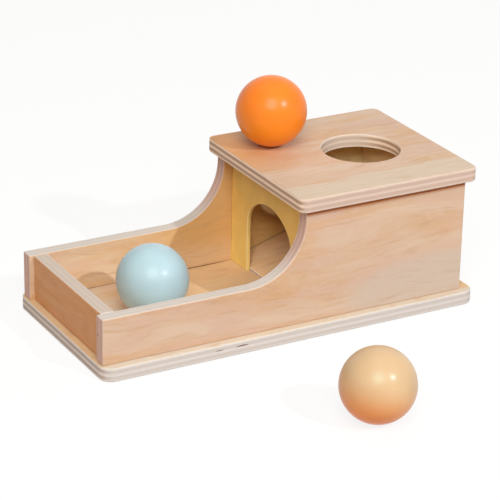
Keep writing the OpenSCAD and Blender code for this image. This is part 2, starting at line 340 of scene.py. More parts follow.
class Finish(Graph):
    """A material with one main shader, whose patterns are measured in millimetres."""

    def __init__(self, name, **constants):
        self.material = bpy.data.materials.new(name)
        self.material.use_nodes = True
        super().__init__(self.material.node_tree)
        self.shader = self.add("ShaderNodeBsdfPrincipled", constants)
        self.add("ShaderNodeOutputMaterial", {"Surface": self.shader.outputs[0]})
        place = self.add("ShaderNodeTexCoord").outputs["Object"]
        self.place = self.vector("MULTIPLY", place, (1 / MM, 1 / MM, 1 / MM))
        self.normal = self.add("ShaderNodeNewGeometry").outputs["Normal"]
        self.eased = self.add("ShaderNodeAttribute", attribute_name=EASED).outputs["Fac"]

    def levelled(self, direction, tilt):
        """A place or direction on a piece that is tilted about Y, as if the piece lay level."""
        if not tilt:
            return direction
        inputs = {"Vector": direction, "Angle": tilt}
        return self.add("ShaderNodeVectorRotate", inputs, rotation_type="Y_AXIS").outputs[0]

    def mix(self, share, first, second, **settings):
        ends = [end if isinstance(end, bpy.types.NodeSocket) else opaque(end) for end in (first, second)]
        inputs = {MIX_SHARE: share, FIRST_COLOUR: ends[0], SECOND_COLOUR: ends[1]}
        return self.add("ShaderNodeMix", inputs, data_type="RGBA", **settings).outputs[MIXED_COLOUR]

    def blend(self, share, first, second):
        """The first colour with a share of the second laid over it."""
        return self.mix(share, first, second)

    def multiply(self, share, colour, tone):
        """A colour that a tone multiplies, by a share."""
        return self.mix(share, colour, tone, blend_type="MULTIPLY")

    def between(self, share, first, second):
        """A number that goes from the first to the second by a share."""
        inputs = {MIX_SHARE: share, FIRST_NUMBER: first, SECOND_NUMBER: second}
        return self.add("ShaderNodeMix", inputs).outputs[MIXED_NUMBER]

    def spot(self, mark):
        """How strongly a mark shows: full near its centre and 0 outside its radii."""
        shares = tuple(1 / radius for radius in mark.radii)
        offset = tuple(-place / radius for place, radius in zip(mark.centre, mark.radii))
        reach = self.vector("LENGTH", self.vector("MULTIPLY_ADD", self.place, shares, offset))
        return self.come_in(reach, MARK_EDGE, mark.strength)

    def worn(self, pattern, roughness, spread):
        """A roughness that a pattern spreads to both sides."""
        return self.math("MULTIPLY_ADD", pattern, spread, roughness - spread / 2)

    def bump(self, height, relief):
        inputs = {"Strength": relief.strength, "Distance": relief.depth * MM, "Height": height}
        return self.add("ShaderNodeBump", inputs).outputs[0]

    def set(self, **sockets):
        """Sets inputs of the shader, named with _ for a space, and gives back the material."""
        for name, value in sockets.items():
            self.feed(self.shader.inputs[name.replace("_", " ")], value)
        return self.material


# Materials

PLAIN = (1.0, 1.0, 1.0)
# A mark fades out between these shares of its radii
MARK_EDGE = Span(1.0, 0.6)

# Patterns of the face veneer, measured along the grain, across it and through the board. The figure's
# patterns follow its rings instead of the way across.
SWELL = Pattern((110, 34, 60), 0.0, 2.5, 0.55)
BANDS = Pattern((160, 6, 60), 1.3, 3.0, 0.55, Span(0.34, 0.68))
ROSY_PATCHES = Pattern((46, 15, 60), 2.9, 3.0, 0.55, Span(0.42, 0.62, 0.8))
WARM_PATCHES = Pattern((60, 17, 60), 6.6, 2.5, span=Span(0.5, 0.68, 0.5))
CLOUDS = Pattern((15, 2.6, 20), 3.7, 3.0, 0.6, Span(0.52, 0.7, 0.4))
MOTTLE = Pattern((5.5, 2.2, 20), 5.2, 2.0, 0.6, Span(0.5, 0.72, 0.4))
STREAKS = Pattern((24, 1.3, 20), 7.7, 2.0, 0.6, Span(0.5, 0.78, 0.32))
FIBRES = Pattern((16, 0.6, 20), 4.1, 2.0, 0.65, Span(0.5, 0.8, 0.5))
PORES = Pattern((4, 0.4, 10), 5.7, 1.0, span=Span(0.66, 0.78, 0.25))
# Late wood: where it shows, and the part of each ring that it takes
LATE_WOOD = Pattern((30, 8, 30), 3.3, span=Span(0.46, 0.7, 0.2))
LATE_START = Span(0.72, 0.95)
LATE_END = Span(1.0, 0.95)
# The rings' width in millimetres, how they follow the way across, and how far a tint covers late wood
RING_WIDTH = 5.0
RING_DRIFT = 0.45
TINT_COVER = 0.7

# Layers on a board's edges: the share of the outer plies that sanding took, the height of their waver in
# millimetres, and the values of their wave where cross plies and glue lines show
SANDED_OFF = 0.14
WAVER = Pattern((22, 22, 40), 6.1)
WAVER_HEIGHT = 0.5
CROSS_PLY = Span(0.35, -0.35)
GLUE = Span(0.25, 0.0, 0.35)
LONG_FIBRES = Pattern((14, 0.7, 0.35), 7.3, span=Span(0.5, 0.8, 0.3))
CROSS_FIBRES = Pattern((0.7, 14, 0.35), 8.9, span=Span(0.5, 0.8, 0.35))
# How far a face has to turn to count as cut across the grain, and as an edge
CUT_ACROSS = Span(0.45, 1.0)
CUT_EDGE = Span(0.86, 0.4)
VENEER_GLOSS = 0.18
VENEER_WEAR = 0.16
VENEER_RELIEF = Relief(0.06, 0.6)

# The divider's paint, and the painted light that makes it paler low down and towards its near side
MUSTARD_FIBRES = Pattern((20, 24, 0.8), 2.1, 3.0)
MUSTARD_CLOUDS = Pattern((20, 16, 22), 3.3, span=Span(0.3, 0.7))
THIN_MUSTARD = 0.9
WORN_SHARE = 0.6
DIVIDER_LIGHT_BELOW = Span(56.0, 20.0)
DIVIDER_LIGHT_BELOW_TONE = (1.02, 1.18, 1.3)
DIVIDER_LIGHT_NEAR = Span(0.0, -36.0)
DIVIDER_LIGHT_NEAR_TONE = (1.13, 1.1, 1.1)
MUSTARD_GLOSS = 0.2
MUSTARD_WEAR = 0.16
MUSTARD_RELIEF = Relief(0.05, 0.5)

# The balls' paint: its skin and clouds, the way down to its painted bounce light, and the speck where a pin
# held the ball
BALL_SKIN = Pattern((1.1, 1.1, 1.1), 0.0)
BALL_CLOUDS = Pattern((17, 17, 17), 1.7, 1.0, span=Span(0.35, 0.7))
CLOUD_SHADE = 0.94
UNDERSIDE = (-0.17, 0.1, -0.98)
LOW_LIGHT_SPAN = Span(-0.5, 1.0)
PIN_RADIUS = 0.7
PIN_STRENGTH = 0.6
PIN_SHADE = 0.35
BALL_GLOSS = 0.3
BALL_WEAR = 0.1
BALL_RELIEF = Relief(0.006, 0.3)

# Beech and zinc: the pattern strengths between which their roughness goes from the first to the second
WEAR_LOW, WEAR_HIGH = 0.2, 0.8
BEECH_ROUGHNESS = (0.6, 0.75)
BEECH_RELIEF = Relief(0.05, 0.6)
RAY_SIZE_SHARE = 0.3
ZINC_CLOUDS = Pattern((1.5, 1.5, 1.5), 1.9, 3.0, span=Span(0.3, 0.7))
ZINC_ROUGHNESS = (0.25, 0.45)
ZINC_RELIEF = Relief(0.01, 0.4)


def toned(colour, tone):
    """A colour with each channel multiplied by a tone."""
    return tuple(channel * share for channel, share in zip(colour, tone))


def scaled(values, share):
    """A colour or a set of sizes, all multiplied by one share."""
    return tuple(value * share for value in values)


class Board:
    """Which way a board lies: its CAD node, the axis of its face grain and the axis through its plies.

    A board that is tilted about Y is measured as it would lie level. The swirl is how far its figure
    wanders across the grain. The ply contrast is how strongly its layers show on its edges, and sanded is
    how strongly its eased edges do. The tones multiply the colours of its veneer, of its edges along the
    grain and of its ends.
    """

    def __init__(
            self, node, grain, through, seed, tilt=0.0, swirl=42.0, ply_contrast=1.0, sanded=1.0,
            tone=PLAIN, edge_tone=PLAIN, end_tone=PLAIN):
        self.grain = grain
        self.through = through
        self.across = X + Y + Z - grain - through
        self.seed = seed
        self.tilt = tilt
        self.swirl = swirl
        self.ply_contrast = ply_contrast
        self.sanded = sanded
        self.tone = tone
        self.edge_tone = edge_tone
        self.end_tone = end_tone
        level = Matrix.Rotation(tilt, 3, "Y")
        depths = [(level @ vert.co)[through] / MM for vert in frame["nodes"][node].data.vertices]
        self.low = min(depths)
        self.thickness = max(depths) - self.low

    def veneer(self, colour):
        return toned(colour, self.tone)


def unit(axis):
    """The direction of one axis."""
    return tuple(float(index == axis) for index in (X, Y, Z))


def board_axes(finish, board):
    """The place on a board as along its grain, across it and in from its lower face, in millimetres."""
    axes = finish.split(finish.levelled(finish.place, board.tilt))
    inward = finish.math("SUBTRACT", axes[board.through], board.low)
    return axes[board.grain], axes[board.across], inward


def late_wood(finish, rings, place, seed):
    """The share of the thin lines that end each ring, which show only in places."""
    step = finish.math("FRACT", finish.math("DIVIDE", rings, RING_WIDTH))
    line = finish.product(finish.come_in(step, LATE_START), finish.come_in(step, LATE_END))
    return finish.product(line, finish.seen(place, LATE_WOOD, seed))


def veneer_colour(finish, settings, board, axes, place, tints):
    """Rotary cut face veneer: the loops of its figure, fine fibres and short pores, and its surface height.

    Each tint is a share and the colour that it lays over the veneer's bands.
    """
    along, across, _ = axes
    seed = board.seed
    swell = finish.pattern(place, SWELL, seed)
    rings = finish.math("MULTIPLY_ADD", swell, board.swirl, finish.product(across, RING_DRIFT))
    figure = finish.join(along, rings, 0.0)
    pale = board.veneer(settings.pale_veneer)
    tan = board.veneer(settings.tan_veneer)
    brown = board.veneer(settings.late_line)
    colour = finish.blend(finish.seen(figure, BANDS, seed), pale, tan)
    layers = (
        (place, ROSY_PATCHES, board.veneer(settings.rosy_veneer)),
        (place, WARM_PATCHES, board.veneer(settings.warm_veneer)),
        (figure, CLOUDS, pale),
        (place, MOTTLE, pale),
    )
    for where, pattern, shade in layers:
        colour = finish.blend(finish.seen(where, pattern, seed), colour, shade)
    late = late_wood(finish, rings, place, seed)
    for share, tint in tints:
        colour = finish.blend(share, colour, board.veneer(tint))
        late = finish.product(late, finish.math("MULTIPLY_ADD", share, -TINT_COVER, 1.0))
    colour = finish.blend(late, colour, brown)
    colour = finish.blend(finish.seen(figure, STREAKS, seed), colour, brown)
    fibres = finish.pattern(place, FIBRES, seed)
    colour = finish.blend(finish.come_in(fibres, FIBRES.span), colour, tan)
    fleck = finish.seen(place, PORES, seed)
    colour = finish.blend(fleck, colour, board.veneer(settings.pore))
    return colour, finish.math("SUBTRACT", fibres, fleck)


def ply_edge_colour(finish, settings, board, inward, place, normal):
    """The layers on a board's edges, plainest where it is cut across, and their surface height."""
    waver = finish.pattern(place, WAVER, board.seed)
    depth = finish.math("MULTIPLY_ADD", waver, WAVER_HEIGHT, -WAVER_HEIGHT / 2)
    depth = finish.math("ADD", depth, inward)
    plies_per_millimetre = (settings.plies - 2 * SANDED_OFF) / board.thickness
    layer = finish.math("MULTIPLY_ADD", depth, plies_per_millimetre, SANDED_OFF)
    wave = finish.math("SINE", finish.product(layer, math.pi))
    cross = finish.come_in(wave, CROSS_PLY, board.ply_contrast)
    glue = finish.come_in(finish.math("ABSOLUTE", wave), GLUE, board.ply_contrast)
    cut_across = finish.math("ABSOLUTE", finish.vector("DOT_PRODUCT", normal, unit(board.grain)))
    cut_across = finish.come_in(cut_across, CUT_ACROSS)
    pale = finish.blend(
        cut_across, toned(settings.pale_edge, board.edge_tone), toned(settings.pale_end, board.end_tone))
    dark = finish.blend(
        cut_across, toned(settings.dark_edge, board.edge_tone), toned(settings.dark_end, board.end_tone))
    long_fibres = finish.pattern(place, LONG_FIBRES, board.seed)
    pale = finish.blend(finish.come_in(long_fibres, LONG_FIBRES.span), pale, dark)
    colour = finish.blend(cross, pale, dark)
    cross_fibres = finish.pattern(place, CROSS_FIBRES, board.seed)
    fleck = finish.come_in(cross_fibres, CROSS_FIBRES.span, board.ply_contrast)
    colour = finish.blend(finish.math("MAXIMUM", glue, fleck), colour, settings.glue_line)
    return colour, finish.math("ADD", long_fibres, cross_fibres)


def plywood(name, board, tinted=None, marks=(), edge_tinted=None):
    """Sealed plywood: veneer on its faces, layers on its edges, a pale line where it was eased and painted
    shadow at its marks.

    The tinted function gives tints for the veneer. The edge_tinted one gives a share and a tone for the
    edges. Both are given the finish and the place along the board's axes.
    """
    settings = bpy.context.scene.ballbox_boards
    finish = Finish(name, **{"Specular IOR Level": VENEER_GLOSS})
    axes = board_axes(finish, board)
    along, across, inward = axes
    place = finish.join(along, across, inward)
    normal = finish.levelled(finish.normal, board.tilt)
    tints = tinted(finish, axes) if tinted else ()
    face, face_height = veneer_colour(finish, settings, board, axes, place, tints)
    edge, edge_height = ply_edge_colour(finish, settings, board, inward, place, normal)
    if edge_tinted:
        share, tone = edge_tinted(finish, axes)
        edge = finish.multiply(share, edge, tone)
    facing = finish.math("ABSOLUTE", finish.vector("DOT_PRODUCT", normal, unit(board.through)))
    cut = finish.come_in(facing, CUT_EDGE)
    colour = finish.blend(cut, face, edge)
    eased = finish.product(finish.eased, settings.sanded_share * board.sanded)
    colour = finish.blend(eased, colour, settings.sanded)
    # Each mark paints the shadow in a gap, a hole or a corner
    for mark in marks:
        colour = finish.blend(finish.spot(mark), colour, settings.gap_shadow)
    rough = finish.worn(face_height, settings.roughness, VENEER_WEAR)
    height = finish.between(cut, face_height, edge_height)
    return finish.set(Base_Color=colour, Roughness=rough, Normal=finish.bump(height, VENEER_RELIEF))


def sheet_paint():
    """Matt mustard paint over thin plywood, with the veneer's fibres just showing through it, and painted
    light that makes it paler low down and towards its near side.
    """
    paints = bpy.context.scene.ballbox_paints
    finish = Finish("mustard_paint", **{"Specular IOR Level": MUSTARD_GLOSS})
    fibres = finish.pattern(finish.place, MUSTARD_FIBRES)
    clouds = finish.seen(finish.place, MUSTARD_CLOUDS)
    colour = finish.blend(clouds, paints.mustard, scaled(paints.mustard, THIN_MUSTARD))
    _, across, up = finish.split(finish.place)
    # Painted light: paler low down, away from the shade under the lid, and towards the near side
    colour = finish.multiply(finish.come_in(up, DIVIDER_LIGHT_BELOW), colour, DIVIDER_LIGHT_BELOW_TONE)
    colour = finish.multiply(finish.come_in(across, DIVIDER_LIGHT_NEAR), colour, DIVIDER_LIGHT_NEAR_TONE)
    colour = finish.blend(finish.product(finish.eased, WORN_SHARE), colour, paints.worn_mustard)
    rough = finish.worn(fibres, paints.sheet_roughness, MUSTARD_WEAR)
    return finish.set(Base_Color=colour, Roughness=rough, Normal=finish.bump(fibres, MUSTARD_RELIEF))


def ball_paint(name, colour, low_light, gloss, centre, radius, seed, pin_place):
    """Satin paint on a turned ball: painted bounce light low down, a faint skin and the speck of its pin.
    """
    paints = bpy.context.scene.ballbox_paints
    finish = Finish(name, **{"Specular IOR Level": BALL_GLOSS, "Specular Tint": opaque(gloss)})
    skin = finish.pattern(finish.place, BALL_SKIN, seed)
    clouds = finish.seen(finish.place, BALL_CLOUDS, seed)
    shown = finish.blend(clouds, colour, scaled(colour, CLOUD_SHADE))
    outward = finish.vector("SUBTRACT", finish.place, tuple(centre))
    low = finish.math("DIVIDE", finish.vector("DOT_PRODUCT", outward, UNDERSIDE), radius)
    # Painted bounce light: another shade over the lower part of the ball
    shown = finish.blend(finish.come_in(low, LOW_LIGHT_SPAN), shown, low_light)
    pin_mark = Mark(tuple(pin_place), (PIN_RADIUS, PIN_RADIUS, PIN_RADIUS), PIN_STRENGTH)
    shown = finish.blend(finish.spot(pin_mark), shown, scaled(colour, PIN_SHADE))
    rough = finish.worn(skin, paints.ball_roughness, BALL_WEAR)
    return finish.set(Base_Color=shown, Roughness=rough, Normal=finish.bump(skin, BALL_RELIEF))


def beech(name, sizes):
    """Bare beech with the short brown flecks of its rays. The sizes are its fibres' along X, Y and Z."""
    fixings = bpy.context.scene.ballbox_fixings
    grain = Pattern(sizes, seed=5.3, detail=3.0, roughness=0.6, span=Span(0.35, 0.7))
    rays = Pattern(scaled(sizes, RAY_SIZE_SHARE), seed=9.1, detail=1.0, span=Span(0.64, 0.74, 0.6))
    finish = Finish(name)
    fibres = finish.pattern(finish.place, grain)
    colour = finish.blend(finish.come_in(fibres, grain.span), fixings.pale_beech, fixings.brown_beech)
    colour = finish.blend(finish.seen(finish.place, rays), colour, fixings.beech_ray)
    rough = finish.rise(fibres, WEAR_LOW, WEAR_HIGH, *BEECH_ROUGHNESS)
    return finish.set(Base_Color=colour, Roughness=rough, Normal=finish.bump(fibres, BEECH_RELIEF))


def zinc_steel():
    """Zinc plated steel: a cloudy grey."""
    fixings = bpy.context.scene.ballbox_fixings
    finish = Finish("zinc_steel", Metallic=1.0)
    clouds = finish.pattern(finish.place, ZINC_CLOUDS)
    shown = finish.come_in(clouds, ZINC_CLOUDS.span)
    colour = finish.blend(shown, fixings.bright_zinc, fixings.dull_zinc)
    rough = finish.rise(clouds, WEAR_LOW, WEAR_HIGH, *ZINC_ROUGHNESS)
    return finish.set(Base_Color=colour, Roughness=rough, Normal=finish.bump(clouds, ZINC_RELIEF))


# Meshes

SHARP_ANGLE = math.radians(35)
MERGE_DISTANCE = 0.002 * MM
FLAT_ANGLE = math.radians(0.2)
# A run of sharp edges that is no longer than this is the rim of a drilled hole
HOLE_RUN = 40 * MM
EASING_STEPS = 3
EASING_ROUNDNESS = 0.5
# A face whose normal rises more than this looks up
LOOKS_UP = 0.5


def sharp_runs(edges):
    """Sorts sharp edges into runs that hang together."""
    left = set(edges)
    while left:
        run = set()
        front = [left.pop()]
        while front:
            edge = front.pop()
            run.add(edge)
            for vert in edge.verts:
                for other in vert.link_edges:
                    if other in left:
                        left.remove(other)
                        front.append(other)
        yield run


def smooth_where_flat(work):
    """Shades a mesh smooth, apart from its sharp edges."""
    for face in work.faces:
        face.smooth = True
    for edge in work.edges:
        edge.smooth = edge.is_manifold and edge.calc_face_angle() < SHARP_ANGLE


def eased_board(name, node, easing):
    """A copy of a CAD board, merged, with its sawn outer edges eased. Drilled holes keep their edges."""
    mesh = bpy.data.meshes.new(name)
    work = bmesh.new()
    work.from_mesh(frame["nodes"][node].data)
    eased = work.faces.layers.float.new(EASED)
    bmesh.ops.remove_doubles(work, verts=work.verts, dist=MERGE_DISTANCE)
    bmesh.ops.dissolve_limit(work, angle_limit=FLAT_ANGLE, verts=work.verts, edges=work.edges)
    convex = [edge for edge in work.edges if edge.is_manifold and edge.is_convex]
    sharp = [edge for edge in convex if edge.calc_face_angle() > SHARP_ANGLE]
    outer = []
    for run in sharp_runs(sharp):
        if sum(edge.calc_length() for edge in run) > HOLE_RUN:
            outer.extend(run)
    made = bmesh.ops.bevel(
        work, geom=outer, offset=easing, offset_type="OFFSET", segments=EASING_STEPS,
        profile=EASING_ROUNDNESS, affect="EDGES", clamp_overlap=True)
    for face in made["faces"]:
        face[eased] = 1.0
    smooth_where_flat(work)
    work.to_mesh(mesh)
    work.free()
    piece = bpy.data.objects.new(name, mesh)
    bpy.context.scene.collection.objects.link(piece)
    weighted = piece.modifiers.new("flat_faces", "WEIGHTED_NORMAL")
    weighted.keep_sharp = True
    return made_plain(piece)


def made_plain(piece):
    """Turns what a piece's modifiers make into its own plain mesh."""
    graph = bpy.context.evaluated_depsgraph_get()
    mesh = bpy.data.meshes.new_from_object(
        piece.evaluated_get(graph), preserve_all_data_layers=True, depsgraph=graph)
    piece.modifiers.clear()
    piece.data = mesh
    mesh.name = piece.name
    return piece


def settle(piece, body, slot, *nodes):
    """Lets a finished piece ride on its body in place of its CAD nodes."""
    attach(piece, body)
    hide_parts(*nodes)


def finish_board(name, node, easing, material, slot="plywood"):
    """Makes an eased board of one material in place of its CAD node."""
    piece = eased_board(name, node, easing)
    piece.data.materials.clear()
    piece.data.materials.append(material)
    settle(piece, BOX, slot, node)


def slope_of(node):
    """The slope along X of a node's largest face that looks up."""
    tops = [face for face in frame["nodes"][node].data.polygons if face.normal.z > LOOKS_UP]
    normal = max(tops, key=lambda face: face.area).normal
    return math.atan2(-normal.x, normal.z)


def solid_boxes(node):
    """The lowest and highest corner of each separate solid in a CAD node."""
    work = bmesh.new()
    work.from_mesh(frame["nodes"][node].data)
    bmesh.ops.remove_doubles(work, verts=work.verts, dist=MERGE_DISTANCE)
    left = set(work.verts)
    boxes = []
    while left:
        front = [left.pop()]
        places = []
        while front:
            vert = front.pop()
            places.append(vert.co.copy())
            for edge in vert.link_edges:
                other = edge.other_vert(vert)
                if other in left:
                    left.remove(other)
                    front.append(other)
        low = Vector([min(place[axis] for place in places) for axis in (X, Y, Z)])
        high = Vector([max(place[axis] for place in places) for axis in (X, Y, Z)])
        boxes.append((low, high))
    work.free()
    return sorted(boxes, key=lambda box: tuple(box[0]))


# Geometry nodes

# The name of the point attribute that holds each copy's angles
TURN = "turn"
# Rings along a dowel, and how wide its chamfered tip is
DOWEL_RINGS = 25
DOWEL_TIP_SHARE = 0.82
# Sides of a screw, steps in one turn of its thread, and sides of the thread
SCREW_SIDES = 48
THREAD_STEPS = 24
THREAD_SIDES = 6
# Scale of the noise that gives a ball its dips
DIP_RATE = 1.4


class Tree(Graph):
    """A geometry node tree with named inputs, and the socket identifiers that a modifier needs."""

    def __init__(self, name):
        super().__init__(bpy.data.node_groups.new(name, "GeometryNodeTree"))
        self.sockets = {}
        self.new_socket("Places", "NodeSocketGeometry")
        self.tree.interface.new_socket("Pieces", in_out="OUTPUT", socket_type="NodeSocketGeometry")
        self.source = None

    def moved_up(self, geometry, height):
        """A geometry that is moved up along Z."""
        inputs = {"Geometry": geometry, "Translation": self.join(0.0, 0.0, height)}
        return self.add("GeometryNodeTransform", inputs).outputs[0]

    def new_socket(self, name, kind):
        socket = self.tree.interface.new_socket(name, in_out="INPUT", socket_type=kind)
        self.sockets[name] = socket.identifier

    def declare(self, **kinds):
        for name, kind in kinds.items():
            self.new_socket(name, kind)
        self.source = self.add("NodeGroupInput").outputs

    def set_material(self, geometry):
        """Ends the tree with real meshes in the material that the tree is given."""
        real = self.add("GeometryNodeRealizeInstances", {0: geometry}).outputs[0]
        inputs = {"Geometry": real, "Material": self.source["Material"]}
        dressed = self.add("GeometryNodeSetMaterial", inputs).outputs[0]
        self.add("NodeGroupOutput", {0: dressed})


def grown(name, tree, places, turns, values):
    """Runs a tree on a set of points and returns the plain mesh object that it makes."""
    mesh = bpy.data.meshes.new(name)
    mesh.from_pydata(places, [], [])
    turn = mesh.attributes.new(TURN, "FLOAT_VECTOR", "POINT")
    turn.data.foreach_set("vector", [angle for angles in turns for angle in angles])
    piece = bpy.data.objects.new(name, mesh)
    bpy.context.scene.collection.objects.link(piece)
    modifier = piece.modifiers.new(tree.tree.name, "NODES")
    modifier.node_group = tree.tree
    for key, value in values.items():
        modifier[tree.sockets[key]] = value
    made_plain(piece)
    work = bmesh.new()
    work.from_mesh(piece.data)
    smooth_where_flat(work)
    work.to_mesh(piece.data)
    work.free()
    return piece


def placed(tree, geometry):
    """Sets one copy of a geometry on each point, turned by the point's own angles."""
    turn = tree.add("GeometryNodeInputNamedAttribute", {"Name": TURN}, data_type="FLOAT_VECTOR")
    rotation = tree.add("FunctionNodeEulerToRotation", {0: turn.outputs[0]}).outputs[0]
    inputs = {"Points": tree.source["Places"], "Instance": geometry, "Rotation": rotation}
    return tree.add("GeometryNodeInstanceOnPoints", inputs).outputs[0]


def dowel_tree():
    """A fluted dowel with chamfered ends, standing on each point."""
    tree = Tree("fluted_dowel")
    tree.declare(
        Radius="NodeSocketFloat", Length="NodeSocketFloat", Flutes="NodeSocketInt",
        Depth="NodeSocketFloat", Chamfer="NodeSocketFloat", Material="NodeSocketMaterial")
    source = tree.source
    inner = tree.math("SUBTRACT", source["Radius"], source["Depth"])
    inputs = {"Points": source["Flutes"], "Inner Radius": inner, "Outer Radius": source["Radius"]}
    profile = tree.add("GeometryNodeCurveStar", inputs).outputs[0]
    top = tree.join(0.0, 0.0, source["Length"])
    line = tree.add("GeometryNodeCurvePrimitiveLine", {"Start": (0, 0, 0), "End": top}).outputs[0]
    path = tree.add("GeometryNodeResampleCurve", {"Curve": line, "Count": DOWEL_RINGS}).outputs[0]
    walked = tree.add("GeometryNodeSplineParameter").outputs["Length"]
    ahead = tree.math("SUBTRACT", source["Length"], walked)
    nearer = tree.math("MINIMUM", walked, ahead)
    taper = tree.math("DIVIDE", nearer, source["Chamfer"])
    inputs = {0: taper, 1: 0.0, 2: 1.0, 3: DOWEL_TIP_SHARE, 4: 1.0}
    narrow = tree.add("ShaderNodeMapRange", inputs).outputs[0]
    inputs = {"Curve": path, "Profile Curve": profile, "Scale": narrow, "Fill Caps": True}
    solid = tree.add("GeometryNodeCurveToMesh", inputs).outputs[0]
    tree.set_material(placed(tree, solid))
    return tree


def screw_cone(tree, bottom, top, height):
    """A cone or a part of one, standing on the ground."""
    inputs = {"Vertices": SCREW_SIDES, "Radius Bottom": bottom, "Radius Top": top, "Depth": height}
    return tree.add("GeometryNodeMeshCone", inputs).outputs[0]


def screw_tree():
    """A countersunk screw with a cross slot and a thread, pointing up from each point."""
    tree = Tree("countersunk_screw")
    tree.declare(
        HeadRadius="NodeSocketFloat", CoreRadius="NodeSocketFloat", HeadHeight="NodeSocketFloat",
        Length="NodeSocketFloat", Point="NodeSocketFloat", ThreadDepth="NodeSocketFloat",
        Turns="NodeSocketFloat", SlotWidth="NodeSocketFloat", SlotLength="NodeSocketFloat",
        SlotDepth="NodeSocketFloat", Material="NodeSocketMaterial")
    source = tree.source
    head = screw_cone(tree, source["HeadRadius"], source["CoreRadius"], source["HeadHeight"])
    point_base = tree.math("SUBTRACT", source["Length"], source["Point"])
    core_length = tree.math("SUBTRACT", point_base, source["HeadHeight"])
    inputs = {"Vertices": SCREW_SIDES, "Radius": source["CoreRadius"], "Depth": core_length}
    core = tree.add("GeometryNodeMeshCylinder", inputs).outputs[0]
    core = tree.moved_up(core, tree.math("MULTIPLY_ADD", core_length, 0.5, source["HeadHeight"]))
    point = tree.moved_up(screw_cone(tree, source["CoreRadius"], 0.0, source["Point"]), point_base)
    body = tree.add("GeometryNodeMeshBoolean", operation="UNION", solver="EXACT")
    for part in (head, core, point):
        tree.tree.links.new(part, body.inputs["Mesh 2"])
    cut = tree.add("GeometryNodeMeshBoolean", operation="DIFFERENCE", solver="EXACT")
    tree.feed(cut.inputs["Mesh 1"], body.outputs[0])
    # Half of each bar lies below the head
    bar_height = tree.math("MULTIPLY", source["SlotDepth"], 2.0)
    long, wide = source["SlotLength"], source["SlotWidth"]
    for across_x, across_y in ((long, wide), (wide, long)):
        size = tree.join(across_x, across_y, bar_height)
        bar = tree.add("GeometryNodeMeshCube", {"Size": size}).outputs[0]
        tree.tree.links.new(bar, cut.inputs["Mesh 2"])
    crest = tree.math("MULTIPLY", source["ThreadDepth"], 0.5)
    helix_radius = tree.math("ADD", source["CoreRadius"], crest)
    inputs = {
        "Resolution": THREAD_STEPS, "Rotations": source["Turns"], "Start Radius": helix_radius,
        "End Radius": helix_radius, "Height": core_length,
    }
    helix = tree.add("GeometryNodeCurveSpiral", inputs).outputs[0]
    helix = tree.moved_up(helix, source["HeadHeight"])
    inputs = {"Resolution": THREAD_SIDES, "Radius": crest}
    ridge = tree.add("GeometryNodeCurvePrimitiveCircle", inputs, mode="RADIUS").outputs[0]
    inputs = {"Curve": helix, "Profile Curve": ridge, "Fill Caps": True}
    thread = tree.add("GeometryNodeCurveToMesh", inputs).outputs[0]
    whole = tree.add("GeometryNodeJoinGeometry")
    for part in (cut.outputs[0], thread):
        tree.tree.links.new(part, whole.inputs[0])
    tree.set_material(placed(tree, whole.outputs[0]))
    return tree


def ball_tree():
    """A turned ball on each point: a cube's grid blown up to a sphere, a little out of round."""
    tree = Tree("turned_ball")
    tree.declare(
        Radius="NodeSocketFloat", Faces="NodeSocketInt", OutOfRound="NodeSocketFloat",
        Seed="NodeSocketFloat", Material="NodeSocketMaterial")
    source = tree.source
    rows = tree.math("ADD", source["Faces"], 1.0)
    inputs = {"Size": (2, 2, 2), "Vertices X": rows, "Vertices Y": rows, "Vertices Z": rows}
    grid = tree.add("GeometryNodeMeshCube", inputs).outputs[0]
    quarter = math.pi / 4
    here = tree.add("GeometryNodeInputPosition").outputs[0]
    even = tree.vector("TANGENT", tree.vector("MULTIPLY", here, (quarter, quarter, quarter)))
    outward = tree.vector("NORMALIZE", even)
    offset = tree.join(source["Seed"], 0.0, 0.0)
    rates = (DIP_RATE, DIP_RATE, DIP_RATE)
    dip = tree.noise(tree.vector("MULTIPLY_ADD", outward, rates, offset), detail=1.0)
    reach = tree.math("SUBTRACT", source["Radius"], tree.math("MULTIPLY", dip, source["OutOfRound"]))
    inputs = {0: outward, "Scale": reach}
    surface = tree.add("ShaderNodeVectorMath", inputs, operation="SCALE").outputs[0]
    ball = tree.add("GeometryNodeSetPosition", {"Geometry": grid, "Position": surface}).outputs[0]
    tree.set_material(placed(tree, ball))
    return tree


# Pieces

# All places and sizes on the pieces' finishes are in millimetres, in the part's own frame

def corners(node):
    """The lowest and the highest corner of a CAD node, in millimetres."""
    low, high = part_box(node)
    return low / MM, high / MM


# Gaps in the base's core on its near edge, painted as the shadow inside them: place along X, height, radii
# and strength
CORE_GAPS = (
    (-53.5, 5.7, (3.2, 1.5, 0.45), 0.7),
    (-38.0, 5.8, (5.2, 1.5, 0.5), 0.9),
)
# Painted shade where the tray's floor meets the far wall: place along X, radii and strength
FLOOR_SHADE_LINES = (
    (-22.0, (38.0, 0.9, 1.0), 0.85),
    (-88.0, (28.0, 0.45, 1.0), 0.5),
)
# The floor's tints along X, the first of them painted warm shade towards the box, and how softly the strip
# before the tray end and the ledge beside the box start
FLOOR_WARM_SHADE = Span(-76.0, -34.0, 0.5)
PALE_FLOOR = Span(-74.0, -96.0, 0.7)
STRIP_BLEND = 2.0
STRIP_SHARE = 0.55
LEDGE_BLEND = 1.0
LEDGE_SHARE = 0.85


